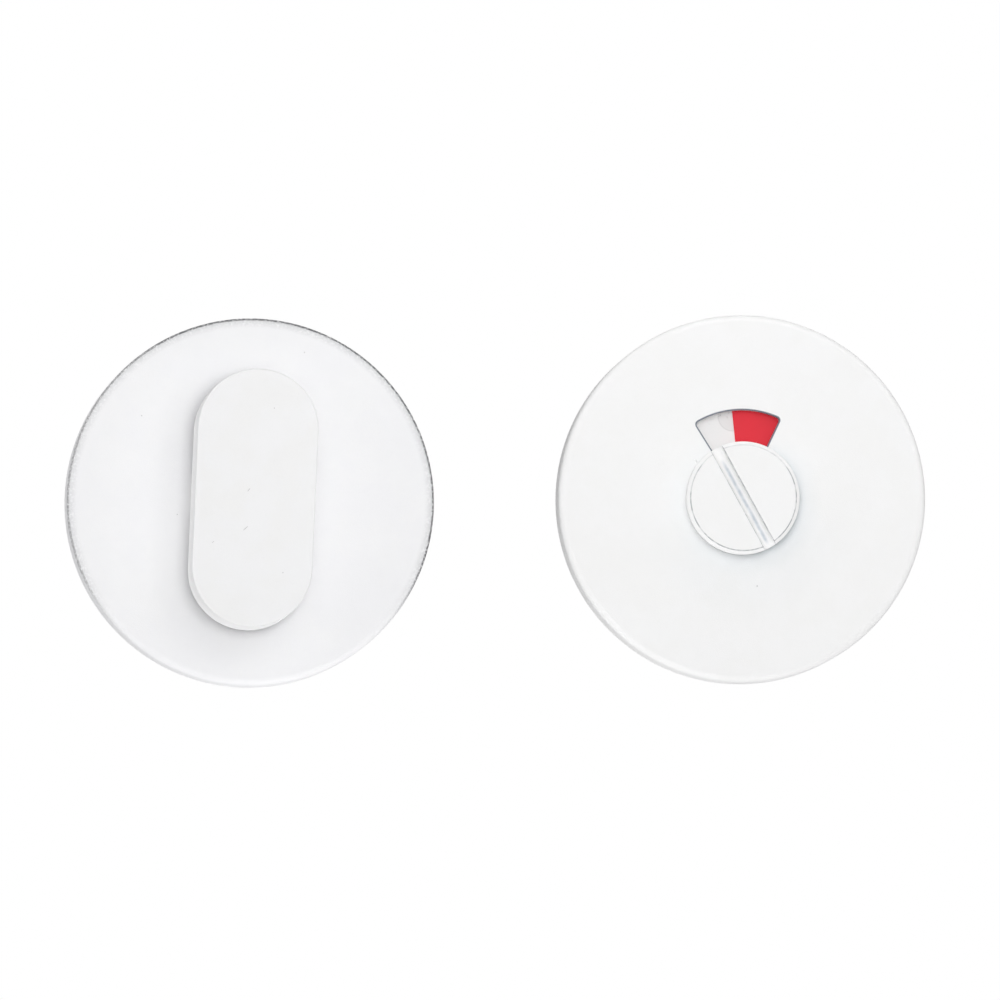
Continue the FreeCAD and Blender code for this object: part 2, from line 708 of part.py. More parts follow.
def make_release_cover():
    """The release half's cover: its window leans a little and is open to its hole; a lug stops the disc."""
    body = make_cover("release_rose_cover", "release", (
        ("shank_hole", "rose_height"), ("shank_hole", "cover_back_out")))
    window = turned(body, "window", box_section(
        "0", "window_radius", "cover_back_out - front_wall", "rose_height + front_wall"),
        kind="Groove", clock="-window_lean", span="window_angle")
    doc.recompute()
    corners = [edge for edge in window.Shape.Edges if edge.BoundBox.Center.z > CLOSE
               and edge.BoundBox.XLength < CLOSE and edge.BoundBox.ZLength < CLOSE]
    reach = [math.hypot(edge.BoundBox.Center.x, edge.BoundBox.Center.z) for edge in corners]
    corners = [edge for edge, far in zip(corners, reach) if far > max(reach) - CLOSE]
    round_edges(body, "window_corners", window, corners, "window_corner_radius")
    turned(body, "stop_lug", box_section(
        "stop_lug_radius - stop_lug_width", "stop_lug_radius", "disc_back_out", "cover_back_out"),
        clock=SIX_OCLOCK, span="stop_lug_span")


def make_release_button():
    """The coin button, neck and shank in one casting, with a round-bottomed coin slot across its face."""
    body = new_body("release_button")
    head = turned(body, "head", box_section("0", "button_radius", "button_back_out", "button_face_out"))
    round_edges(body, "head_edge", head, front_edges(head), "button_chamfer", kind="Chamfer")
    shank(body, "button_back_out", "release_clip_out", "disc_hub_out", "release_socket_out")
    slot = new_sketch(body, "coin_slot_section", "XY_Plane")
    round_slot(slot, "slot_width", "button_face_out - slot_depth", "button_face_out + slot_depth")
    pocket_both_ways(body, "coin_slot", slot, "4 * button_radius")
    place(body, "release", "-release_turn")


def make_release_slip_washer():
    """The thin washer under the button's head."""
    body = new_body("release_slip_washer")
    turned(body, "washer", box_section(
        "shank_hole", "button_radius - slip_washer_inset",
        "rose_height", "rose_height + slip_washer_thickness"))
    place(body, "release")


def make_indicator_disc():
    """The white disc, keyed on the shank, with a slot for the cover's lug and a round moulding mark."""
    body = new_body("indicator_disc")
    turned(body, "disc", (
        ("0", "disc_back_out"), ("disc_radius", "disc_back_out"), ("disc_radius", "disc_front_out"),
        ("disc_hub_radius", "disc_front_out"), ("disc_hub_radius", "disc_hub_out"), ("0", "disc_hub_out")))
    key = face_sketch(body, "key_outline", "disc_hub_out")
    flatted_circle(key, "shank_radius + fit_gap", "flat_width + 2 * fit_gap")
    pocket(body, "key", key, "2 * disc_thickness")
    turned(body, "stop_slot", box_section(
        "stop_lug_radius - stop_lug_width - stop_slot_gap", "stop_slot_radius",
        "disc_back_out - disc_thickness", "disc_front_out + disc_thickness"),
        kind="Groove", clock=SIX_OCLOCK + " + travel_angle / 2",
        span="swing_angle + stop_lug_span + 2 * stop_play")
    mark = face_sketch(body, "mark_outline", "disc_front_out")
    circle(mark, "mark_radius", "(window_radius - mark_inset) * sin(red_clock)",
           "(window_radius - mark_inset) * cos(red_clock)")
    pocket(body, "mark", mark, "mark_depth")
    place(body, "release", "-release_turn")


def make_indicator_red_segment():
    """The red sector that fills the window when the lock is thrown."""
    body = new_body("indicator_red_segment")
    turned(body, "segment", box_section(
        "disc_hub_radius + fit_gap", "disc_radius - red_inset",
        "disc_front_out", "disc_front_out + red_thickness"),
        clock="red_clock + swing_angle / 2", span="swing_angle")
    place(body, "release", "-release_turn")


def make_release_sleeve_nuts():
    """The two threaded sleeves that the screws run into, with a slot across the head."""
    body = new_body("release_sleeve_nuts")
    sleeve = turned(body, "sleeve", (
        ("sleeve_bore_radius", "sleeve_tip_out"), ("sleeve_radius", "sleeve_tip_out"),
        ("sleeve_radius", "sleeve_seat_out"), ("sleeve_head_radius", "sleeve_seat_out"),
        ("sleeve_head_radius", "head_top_out"), ("sleeve_bore_radius", "head_top_out")),
        axis_at="fixing_radius")
    slot = face_sketch(body, "driver_slot_outline", "head_top_out")
    bind(slot, "AttachmentOffset.Base.x", "fixing_radius")
    rectangle(slot, "-sleeve_head_diameter", "sleeve_head_diameter",
              "-sleeve_slot_width / 2", "sleeve_slot_width / 2")
    driver_slot = pocket(body, "driver_slot", slot, "sleeve_slot_depth")
    repeat(body, "pair", [sleeve, driver_slot], 2)
    place(body, "release")


make_turn_cover()
make_turn_bush()
make_turn_knob()
make_turn_stop_washer()
make_spring_washer("turn_spring_washer", "turn", "turn_spring_out", "turn_lean")
make_circlip("turn_circlip", "turn", "turn_clip_out", "turn_lean")
make_turn_spindle()
make_turn_spindle_pin()
make_base_plate("turn_base_plate", "turn", "screw_seat_out", "screw_pocket_radius", "screw_hole_radius")
make_turn_screws()
make_turn_screw_washers()
make_release_cover()
make_release_button()
make_release_slip_washer()
make_indicator_disc()
make_indicator_red_segment()
make_spring_washer("release_spring_washer", "release", "disc_back_out", "-release_turn")
make_circlip("release_circlip", "release", "release_clip_out", "-release_turn")
make_base_plate("release_base_plate", "release",
                "sleeve_seat_out", "sleeve_pocket_radius", "sleeve_hole_radius")
make_release_sleeve_nuts()

doc.recompute()
failed = [item.Label for item in doc.Objects if {"Invalid", "Error"} & set(item.State)]
failed += [part.Label for part in sub_parts if part.Shape.isNull() or not part.Shape.isValid()]
if failed:
    raise RuntimeError("not built: " + ", ".join(failed))
os.makedirs("parts", exist_ok=True)
for part in sub_parts:
    part.Shape.exportStep(f"parts/{part.Label}.step")
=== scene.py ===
# Looks of a bathroom thumb turn lock: a matt white thumb turn on a round rose, and beside it the rose with
# the coin button and the red and white indicator. Lengths are in metres unless a name ends in _MM.
import json
import math

import bpy
from mathutils import Matrix, Vector


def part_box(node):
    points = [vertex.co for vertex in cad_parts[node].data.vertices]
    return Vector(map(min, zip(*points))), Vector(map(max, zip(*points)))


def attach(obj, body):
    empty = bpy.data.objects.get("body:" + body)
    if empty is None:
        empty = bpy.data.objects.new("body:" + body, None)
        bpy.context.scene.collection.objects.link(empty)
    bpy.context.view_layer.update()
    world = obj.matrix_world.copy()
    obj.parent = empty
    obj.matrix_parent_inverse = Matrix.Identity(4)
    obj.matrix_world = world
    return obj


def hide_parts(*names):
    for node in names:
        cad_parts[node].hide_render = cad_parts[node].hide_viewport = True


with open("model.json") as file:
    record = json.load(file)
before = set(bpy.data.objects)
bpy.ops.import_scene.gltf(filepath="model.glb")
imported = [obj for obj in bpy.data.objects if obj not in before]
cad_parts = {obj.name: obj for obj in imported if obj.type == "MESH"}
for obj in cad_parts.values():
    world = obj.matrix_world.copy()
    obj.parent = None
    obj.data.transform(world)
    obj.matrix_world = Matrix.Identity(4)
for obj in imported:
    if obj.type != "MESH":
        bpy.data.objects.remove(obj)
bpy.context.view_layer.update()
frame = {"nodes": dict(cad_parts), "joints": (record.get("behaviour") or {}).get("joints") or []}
cad_nodes = frame["nodes"]
joints = {joint["name"]: joint for joint in frame["joints"]}

MM = 0.001
TURN_AXIS = Vector(joints["thumb_turn"]["pos_m"])
RELEASE_AXIS = Vector(joints["coin_release"]["pos_m"])

# Camera: a long lens a little to the left and below, rolled so that the right rose stands slightly higher.
FRAME_WIDTH = 141.5 * MM
SENSOR_WIDTH_MM = 36.0
CAMERA_DISTANCE = 4.0
CAMERA_AZIMUTH = math.radians(-3.3)
CAMERA_ELEVATION = math.radians(-2.5)
CAMERA_ROLL = math.radians(-0.53)
CAMERA_AIM = Vector((35.52, -4.0, 0.2)) * MM

# Edges that the finishes follow. The slot leans anticlockwise; the window and the moulding mark on the
# white part are placed by the clock, clockwise from twelve.
COIN_SLOT_LEAN = math.radians(28.2)
COIN_SLOT_HALF_MM = 0.85
COIN_FACE_RADIUS_MM = 7.48
WINDOW_LEAN = math.radians(-2.7)
WINDOW_HALF_ANGLE = math.radians(28.8)
WINDOW_RADIUS_MM = 12.55
WINDOW_CORNER_MM = 0.5
MARK_CLOCK = math.radians(-5.5)
MARK_PLACE_MM = 11.75
MARK_RADIUS_MM = 2.0

# Reach of thin paint, bare metal, blotches, painted shade and painted shadow: each pair gives where a mask
# is 0 and where it is 1. Depths are negative in front.
COIN_FACE_DEPTHS_MM = (-10.2, -10.7)
ROSE_RIM_DEPTHS_MM = (-7.05, -7.25)
WINDOW_WALL_DEPTHS_MM = (-7.4, -7.65)
ROSE_LINE_RADII_MM = (25.55, 25.8)
ROSE_SPECKLE_RADII_MM = (24.5, 25.6)
# The next three pairs reach the painted shadow round the coin button.
BUTTON_SHADOW_RADII_MM = (11.8, 7.9)
CLOSE_SHADOW_RADII_MM = (9.4, 7.9)
LOWER_SHADOW_RADII_MM = (18.5, 9.0)
UPPER_BLOTCH_RADII_MM = (10.9, 12.4)
# The next two pairs bound the painted shade in the coin slot's valley.
SLOT_SHADE_TOP_MM = (6.4, 5.0)
SLOT_SHADE_FOOT_MM = (-7.7, -6.6)

# Directions of the painted shadow round the coin button, by the clock.
BUTTON_SHADOW_CLOCK = math.radians(120)
CLOSE_SHADOW_CLOCK = math.radians(100)
LOWER_SHADOW_CLOCK = math.radians(175)

# Strengths of the grain, specks, marks, blotches, painted shade and painted shadow, from 0 for none to 1
# for full.
GRAIN_STRENGTH = 0.1
SPECK_STRENGTH = 0.5
COIN_EDGE_STRENGTH = 0.7
ROSE_EDGE_STRENGTH = 0.92
ROSE_SPECKLE_SHARE = 0.2
SLOT_SHADE_STRENGTH = 0.66
# The next three strengths are of the painted shadow round the coin button.
BUTTON_SHADOW_STRENGTH = 0.17
CLOSE_SHADOW_STRENGTH = 0.15
LOWER_SHADOW_STRENGTH = 0.075
WINDOW_EDGE_STRENGTH = 0.88
RIGHT_WALL_SHADE_SHARE = 0.65
MARK_RING_STRENGTH = 0.3
MARK_FILL_STRENGTH = 0.16
UPPER_BLOTCH_STRENGTH = 0.55

# Small specks and scratches in the paint: across, up, length and width in millimetres, and lean in degrees.
TURN_ROSE_SPECKS = ((-15.3, 12.3, 0.22, 0.16, 0), (-10.4, -1.7, 0.2, 0.16, 30), (7.8, 21.1, 0.2, 0.16, 0))
KNOB_SPECKS = ((-0.9, 1.1, 0.6, 0.11, 40), (-1.4, -4.3, 0.95, 0.12, 48), (2.8, 12.6, 0.18, 0.15, 0),
               (3.8, -10.6, 0.2, 0.15, 20), (-6.0, -6.2, 0.4, 0.09, 50))
RELEASE_ROSE_SPECKS = ((2.0, -12.4, 0.26, 0.2, 15),)

# Fixings and their threads.
FIXING_RADIUS = 19.0 * MM
THREAD_PITCH = 0.7 * MM
THREAD_CREST = 2.02 * MM
SCREW_ROOT = 1.58 * MM
SLEEVE_ROOT = 1.6 * MM
THREAD_STEPS = 24
THREAD_RUN_OUT = 1.0 * MM
THREAD_SPARE = 4 * THREAD_PITCH
DIE_RADIUS = 3.0 * MM
DIE_SIDES = 32
HEAD_HEIGHT = 1.8 * MM

# Merging and smoothing of new meshes.
DOUBLES = 1e-6
SMOOTH_ANGLE = math.radians(32)

# A dried drop of paint on the release rose, just outside the coin button's upper left edge.
DROP_PLACE = Vector((-6.55, -8.0, 5.35)) * MM
DROP_RADIUS = 0.21 * MM
DROP_SEGMENTS = 24
DROP_RINGS = 16
DROP_SHAPE = (1.0, 0.7, 1.2)
DROP_SUNK = 0.03 * MM
DROP_CUT_LIMIT = DOUBLES / 10

# Stage: a pale floor and a dim studio, lit mostly from in front, with fills and strips along the edges.
FLOOR_DROP = 0.35
FLOOR_SIZE = 6.0
FLOOR_WHITE_SHARE = 0.6
FRONT_LEVEL = 0.46
LEFT_LEVEL = 0.3
BACK_LEVEL = 0.1
FRONT_TO_BACK = (-0.25, 0.35)

# Lights: name, place, aim and size in millimetres, and the brightness of the light's own surface.
LIGHTS = (
    ("front_light", (42, -400, 70), (42, 0, 70), (210, 260), 2.5),
    ("lens_light", (35, -600, 10), (35, 0, 10), (80, 80), 31.0),
    ("near_light", (58, -160, 38), (58, 0, 38), (50, 50), 2.4),
    ("knob_fill", (0, -13, -95), (0, -15, 0), (60, 12), 4.5),
    ("left_fill", (-150, -20, 10), (-20, -14, 0), (60, 160), 1.7),
    ("side_fill", (150, -14, 0), (90, -6, 0), (24, 110), 1.2),
    ("top_strip", (82, -14, 95), (74, -5, 26), (70, 14), 4.0),
    ("bottom_strip", (45, -2, -120), (45, -2, 0), (200, 8), 9.0),
    ("back_light", (150, 420, 180), (35, 0, 0), (250, 250), 7.0),
)


def grey(level):
    """A neutral colour."""
    return (level, level, level, 1.0)


# Colours; a soft noise mixes the two of a pair.
COOL_WHITES = ((0.905, 0.905, 0.92, 1), (0.915, 0.915, 0.925, 1))
WARM_WHITES = ((0.9, 0.898, 0.898, 1), (0.908, 0.908, 0.916, 1))
PURE_WHITES = ((0.928, 0.927, 0.925, 1), (0.936, 0.936, 0.938, 1))
DARK_NYLONS = ((0.075, 0.077, 0.082, 1), (0.11, 0.112, 0.118, 1))
PALE_NYLONS = ((0.84, 0.83, 0.79, 1), (0.89, 0.88, 0.84, 1))
ZINC_GREYS = ((0.63, 0.64, 0.65, 1), (0.7, 0.697, 0.68, 1))
STEEL_GREYS = ((0.1, 0.098, 0.1, 1), (0.26, 0.25, 0.24, 1))
INDICATOR_WHITES = ((0.893, 0.895, 0.898, 1), (0.908, 0.907, 0.903, 1))
INDICATOR_REDS = ((0.76, 0.024, 0.043, 1), (0.805, 0.029, 0.05, 1))
GRAIN_GREY = grey(0.62)
SPECK_GREY = grey(0.36)
# Thin paint at the coin button's edges, and painted shade low on its rim.
THIN_PAINT_AND_SHADE_GREY = (0.22, 0.24, 0.26, 1)
# Painted shade on the turn rose's rim.
RIM_SHADE_GREY = (0.08, 0.082, 0.09, 1)
# Painted shade in the coin slot's valley.
SLOT_SHADE_BLUE = (0.36, 0.44, 0.52, 1)
# Painted shadow round the coin button.
BUTTON_SHADOW_BLUE = (0.45, 0.55, 0.61, 1)
# Bare metal round the window, and painted shade on its right wall.
BARE_METAL_AND_SHADE = (0.06, 0.09, 0.14, 1)
MARK_GREY = grey(0.45)
# Dark blotches towards the indicator disc's outer edge.
UPPER_BLOTCH_GREY = grey(0.28)
FLOOR_GREY = grey(0.86)
FLOOR_WHITE = grey(0.94)
STUDIO_WHITE = grey(1.0)


class Flow:
    """A socket that carries numbers; Python's operators on it add Math nodes."""

    def __init__(self, nodes, socket):
        self.nodes = nodes
        self.socket = socket

    def maths(self, operation, *values):
        inputs = dict(enumerate(values))
        return self.nodes.add("ShaderNodeMath", {"operation": operation}, inputs)

    def __add__(self, other):
        return self.maths("ADD", self, other)

    def __radd__(self, other):
        return self.maths("ADD", other, self)

    def __sub__(self, other):
        return self.maths("SUBTRACT", self, other)

    def __rsub__(self, other):
        return self.maths("SUBTRACT", other, self)

    def __mul__(self, other):
        return self.maths("MULTIPLY", self, other)

    def __rmul__(self, other):
        return self.maths("MULTIPLY", other, self)

    def __truediv__(self, other):
        return self.maths("DIVIDE", self, other)

    def __pow__(self, other):
        return self.maths("POWER", self, other)

    def __neg__(self):
        return self.maths("MULTIPLY", self, -1.0)

    def __abs__(self):
        return self.maths("ABSOLUTE", self)

    def at_least(self, other):
        return self.maths("MAXIMUM", self, other)

    def fade(self, start, end):
        """A smooth change from 0 at start to 1 at end; start may lie above end."""
        low, high = min(start, end), max(start, end)
        inputs = {"Value": self, "From Min": low, "From Max": high,
                  "To Min": 0.0 if start < end else 1.0, "To Max": 1.0 if start < end else 0.0}
        settings = {"interpolation_type": "SMOOTHSTEP"}
        return self.nodes.add("ShaderNodeMapRange", settings, inputs)

    def lifted(self, least):
        """A mask from 0 to 1, lifted to run from a least value to 1."""
        return least + (1.0 - least) * self


class Nodes:
    """A node tree that its methods fill."""

    def __init__(self, tree):
        self.tree = tree

    def add(self, kind, settings=None, inputs=None, output=0):
        """Add a node: its settings first, then the values or links of its sockets."""
        node = self.tree.nodes.new(kind)
        for name, value in (settings or {}).items():
            setattr(node, name, value)
        for name, value in (inputs or {}).items():
            if isinstance(value, Flow):
                self.tree.links.new(value.socket, node.inputs[name])
            else:
                node.inputs[name].default_value = value
        return Flow(self, node.outputs[output])

    def parts(self, vector, axes):
        """The parts of a vector along some of its axes."""
        return [self.add("ShaderNodeSeparateXYZ", inputs={0: vector}, output=axis) for axis in axes]

    def mix(self, factor, first, second):
        """Mix two colours, each a tuple or a link."""
        inputs = {0: factor, 6: first, 7: second}
        return self.add("ShaderNodeMix", {"data_type": "RGBA"}, inputs, output=2)


class Paint(Nodes):
    """A procedural finish, read in millimetres from the piece's own coordinates."""

    def __init__(self, name, **constants):
        self.material = bpy.data.materials.new(name)
        self.material.use_nodes = True
        super().__init__(self.material.node_tree)
        self.shader = self.tree.nodes["Principled BSDF"]
        for socket, value in constants.items():
            self.shader.inputs[socket.replace("_", " ")].default_value = value
        metres = self.add("ShaderNodeTexCoord", output="Object")
        scale = {"operation": "SCALE"}
        self.spot = self.add("ShaderNodeVectorMath", scale, {0: metres, "Scale": 1 / MM})

    def axes(self, centre):
        """Distances in millimetres to the right of, behind and above a centre."""
        return [part - place / MM for part, place in zip(self.parts(self.spot, "XYZ"), centre)]

    def polar(self, centre):
        """Radius in millimetres and angle clockwise from twelve about a centre, seen from the front."""
        across, _, up = self.axes(centre)
        angle = across.maths("ARCTAN2", across, up)
        return distance(across, up), angle

    def noise(self, size_mm, detail=2.0, roughness=0.5, stretch=(1.0, 1.0, 1.0), offset=0.0):
        """Soft noise whose features are about a size across."""
        moved = self.add("ShaderNodeVectorMath", {"operation": "MULTIPLY_ADD"},
                         {0: self.spot, 1: stretch, 2: (offset, offset, offset)})
        inputs = {"Vector": moved, "Scale": 1 / size_mm, "Detail": detail, "Roughness": roughness}
        return self.add("ShaderNodeTexNoise", inputs=inputs)

    def shade(self, **links):
        """Feed links to the shader's sockets."""
        for socket, value in links.items():
            self.tree.links.new(value.socket, self.shader.inputs[socket.replace("_", " ")])

    def bump(self, height, depth_mm, strength):
        """Raise the surface by a height from 0 to 1, times a depth in millimetres."""
        inputs = {"Height": height, "Distance": depth_mm * MM, "Strength": strength}
        self.shade(Normal=self.add("ShaderNodeBump", inputs=inputs))


def distance(across, up):
    """Distance from a centre, given the distances along two axes."""
    return (across * across + up * up) ** 0.5


def towards(angle, clock):
    """1 in the direction of the clock, and -1 on the other side."""
    return angle.maths("COSINE", angle - clock)


def aside_of_slot(across, up):
    """Distance from the coin slot's middle line."""
    return abs(across * math.cos(COIN_SLOT_LEAN) + up * math.sin(COIN_SLOT_LEAN))


def dress(node, paint):
    """Give a CAD node its finish."""
    slots = cad_nodes[node].data.materials
    slots.clear()
    slots.append(paint.material)


def speck(paint, centre, across_mm, up_mm, length_mm, width_mm, lean):
    """A mask of 1 in a small oval, as seen from the front."""
    across, _, up = paint.axes(centre)
    across = across - across_mm
    up = up - up_mm
    along = across * math.sin(lean) + up * math.cos(lean)
    aside = across * math.cos(lean) - up * math.sin(lean)
    far = (along / (length_mm / 2)) ** 2.0 + (aside / (width_mm / 2)) ** 2.0
    return far.fade(1.3, 0.5)


def white_lacquer(name, specks, centre, tones, darkening=()):
    """Matt white lacquer with a fine grain, faint clouding between two tones and a few specks."""
    paint = Paint(name, Specular_IOR_Level=0.18)
    cloud = paint.noise(size_mm=7.0, detail=4.0, roughness=0.6, offset=len(name))
    grain = paint.noise(size_mm=0.14, detail=2.0, roughness=0.6)
    colour = paint.mix(cloud.fade(0.38, 0.62), *tones)
    colour = paint.mix(grain.fade(0.58, 0.74) * GRAIN_STRENGTH, colour, GRAIN_GREY)
    for across, up, length, width, lean in specks:
        spot = speck(paint, centre, across, up, length, width, math.radians(lean))
        colour = paint.mix(spot * SPECK_STRENGTH, colour, SPECK_GREY)
    for darken in darkening:
        mask, shade = darken(paint)
        colour = paint.mix(mask, colour, shade)
    paint.shade(Base_Color=colour, Roughness=0.58 + 0.14 * grain)
    paint.bump(grain, depth_mm=0.03, strength=0.7)
    return paint


def thin_paint_and_shade_on_coin_edges(paint):
    """Dark lines of thin paint at the coin button's edges; the rim's line is also painted shade, fainter on
    the upper rim.
    """
    across, depth, up = paint.axes(RELEASE_AXIS)
    shaded_lower_part = up.fade(6.0, 2.5).lifted(0.4)
    rim = abs(distance(across, up) - COIN_FACE_RADIUS_MM).fade(0.12, 0.04) * shaded_lower_part
    slot = abs(aside_of_slot(across, up) - COIN_SLOT_HALF_MM).fade(0.1, 0.03)
    patchy = paint.noise(size_mm=1.1, offset=3.0).fade(0.35, 0.6).lifted(0.45)
    front = depth.fade(*COIN_FACE_DEPTHS_MM)
    return rim.at_least(slot) * front * patchy * COIN_EDGE_STRENGTH, THIN_PAINT_AND_SHADE_GREY


def painted_shade_on_rose_edge(paint):
    """A grainy line of painted shade on the turn rose's outer edge, fainter at the left and none below."""
    across, depth, up = paint.axes(TURN_AXIS)
    radius = distance(across, up)
    line = radius.fade(*ROSE_LINE_RADII_MM) * across.fade(-22.0, -8.0).lifted(0.65)
    speckle = radius.fade(*ROSE_SPECKLE_RADII_MM) * ROSE_SPECKLE_SHARE
    grain = paint.noise(size_mm=0.32, detail=3.0, roughness=0.75, offset=11.0).fade(0.33, 0.54)
    upper_front = up.fade(-19.0, -8.0) * depth.fade(*ROSE_RIM_DEPTHS_MM)
    return line.at_least(speckle) * grain * upper_front * ROSE_EDGE_STRENGTH, RIM_SHADE_GREY


def painted_shade_in_slot_valley(paint):
    """A blue-grey line of painted shade in the coin slot's valley, from near its top to its lower end, at
    any depth.
    """
    across, _, up = paint.axes(RELEASE_AXIS)
    aside = aside_of_slot(across, up)
    along = up * math.cos(COIN_SLOT_LEAN) - across * math.sin(COIN_SLOT_LEAN)
    stretch = along.fade(*SLOT_SHADE_TOP_MM) * along.fade(*SLOT_SHADE_FOOT_MM)
    patchy = paint.noise(size_mm=1.6, offset=9.0).fade(0.35, 0.6).lifted(0.55)
    return aside.fade(0.4, 0.0) * stretch * patchy * SLOT_SHADE_STRENGTH, SLOT_SHADE_BLUE


def painted_shadow_by_the_coin_button(paint):
    """A faint blue-grey painted shadow round the button, most on its right and below it."""
    radius, angle = paint.polar(RELEASE_AXIS)
    lower_right = towards(angle, BUTTON_SHADOW_CLOCK).fade(-0.2, 0.8).lifted(0.6)
    right = towards(angle, CLOSE_SHADOW_CLOCK).fade(0.0, 0.7)
    lower = towards(angle, LOWER_SHADOW_CLOCK).fade(-0.1, 0.9)
    round_about = radius.fade(*BUTTON_SHADOW_RADII_MM) * lower_right * BUTTON_SHADOW_STRENGTH
    close = CLOSE_SHADOW_STRENGTH * radius.fade(*CLOSE_SHADOW_RADII_MM) * right
    below = LOWER_SHADOW_STRENGTH * radius.fade(*LOWER_SHADOW_RADII_MM) * lower
    return round_about + close + below, BUTTON_SHADOW_BLUE


def bare_edge_and_shade_in_window(paint):
    """Bare dark metal in a thin line round the window and on the front of its walls, and painted shade over
    the whole right wall.
    """
    radius, angle = paint.polar(RELEASE_AXIS)
    _, depth, _ = paint.axes(RELEASE_AXIS)
    lean = abs(angle - WINDOW_LEAN)
    side = radius * lean.maths("SINE", lean - WINDOW_HALF_ANGLE)
    arc = radius - WINDOW_RADIUS_MM
    round_side = (side + WINDOW_CORNER_MM).at_least(0.0)
    round_arc = (arc + WINDOW_CORNER_MM).at_least(0.0)
    outside = distance(round_side, round_arc) - WINDOW_CORNER_MM
    window_sector = lean.fade(1.2, 1.0)
    line = outside.fade(0.25, 0.1) * window_sector
    right_wall_shade = RIGHT_WALL_SHADE_SHARE * angle.fade(0.1, 0.3)
    front = depth.fade(*WINDOW_WALL_DEPTHS_MM).at_least(right_wall_shade)
    return line * front * WINDOW_EDGE_STRENGTH, BARE_METAL_AND_SHADE


def grey_nylon(name):
    """Dark moulded nylon with a spark-eroded grain."""
    paint = Paint(name, Specular_IOR_Level=0.45)
    grain = paint.noise(size_mm=0.22, detail=3.0, roughness=0.65)
    flow = paint.noise(size_mm=6.0, detail=3.0, offset=len(name))
    colour = paint.mix(flow, *DARK_NYLONS)
    paint.shade(Base_Color=colour, Roughness=0.5 + 0.18 * grain)
    paint.bump(grain, depth_mm=0.04, strength=0.6)
    return paint


def natural_nylon(name):
    """Off-white moulded nylon."""
    paint = Paint(name, Specular_IOR_Level=0.45, Subsurface_Weight=0.15, Subsurface_Scale=0.4 * MM)
    flow = paint.noise(size_mm=2.5, detail=3.0)
    colour = paint.mix(flow, *PALE_NYLONS)
    paint.shade(Base_Color=colour, Roughness=0.38 + 0.12 * flow)
    paint.bump(paint.noise(size_mm=0.3), depth_mm=0.01, strength=0.5)
    return paint


def zinc_plate(name, stretch):
    """Bright zinc plate over drawn or turned steel; the stretch sets the way of its fine lines."""
    paint = Paint(name, Metallic=1.0)
    lines = paint.noise(size_mm=0.09, detail=3.0, roughness=0.6, stretch=stretch)
    bloom = paint.noise(size_mm=2.2, detail=3.0, offset=5.0)
    colour = paint.mix(bloom.fade(0.3, 0.7), *ZINC_GREYS)
    paint.shade(Base_Color=colour, Roughness=0.24 + 0.12 * lines + 0.12 * bloom)
    paint.bump(lines, depth_mm=0.012, strength=0.5)
    return paint


def spring_steel(name):
    """Dark phosphated spring steel, brighter in rubbed patches."""
    paint = Paint(name, Metallic=1.0)
    patch = paint.noise(size_mm=1.4, detail=4.0)
    colour = paint.mix(patch.fade(0.45, 0.75), *STEEL_GREYS)
    paint.shade(Base_Color=colour, Roughness=0.32 + 0.25 * patch)
    paint.bump(paint.noise(size_mm=0.12, detail=3.0), depth_mm=0.012, strength=0.6)
    return paint


def indicator_white(name):
    """White moulded disc with a round moulding mark, and dark blotches towards its outer edge, at the
    window's upper edge.
    """
    paint = Paint(name, Specular_IOR_Level=0.4)
    flow = paint.noise(size_mm=2.0, detail=4.0)
    blotches = paint.noise(size_mm=0.5, detail=4.0, roughness=0.7, offset=7.0).fade(0.55, 0.75)
    radius, _ = paint.polar(RELEASE_AXIS)
    upper_blotches = blotches * radius.fade(*UPPER_BLOTCH_RADII_MM)
    across, _, up = paint.axes(RELEASE_AXIS)
    mark_across = across - MARK_PLACE_MM * math.sin(MARK_CLOCK)
    mark_up = up - MARK_PLACE_MM * math.cos(MARK_CLOCK)
    from_mark = distance(mark_across, mark_up)
    ring = abs(from_mark - MARK_RADIUS_MM).fade(0.14, 0.04) * MARK_RING_STRENGTH
    inside = from_mark.fade(MARK_RADIUS_MM + 0.05, MARK_RADIUS_MM - 0.05) * MARK_FILL_STRENGTH
    colour = paint.mix(flow, *INDICATOR_WHITES)
    colour = paint.mix(ring.at_least(inside), colour, MARK_GREY)
    colour = paint.mix(upper_blotches * UPPER_BLOTCH_STRENGTH, colour, UPPER_BLOTCH_GREY)
    paint.shade(Base_Color=colour, Roughness=0.42 + 0.16 * flow)
    paint.bump(paint.noise(size_mm=0.35), depth_mm=0.008, strength=0.5)
    return paint


def indicator_red(name):
    """Red satin foil."""
    paint = Paint(name, Specular_IOR_Level=0.3)
    flow = paint.noise(size_mm=1.6, detail=4.0)
    colour = paint.mix(flow, *INDICATOR_REDS)
    paint.shade(Base_Color=colour, Roughness=0.36 + 0.14 * flow)
    paint.bump(paint.noise(size_mm=0.25), depth_mm=0.006, strength=0.5)
    return paint


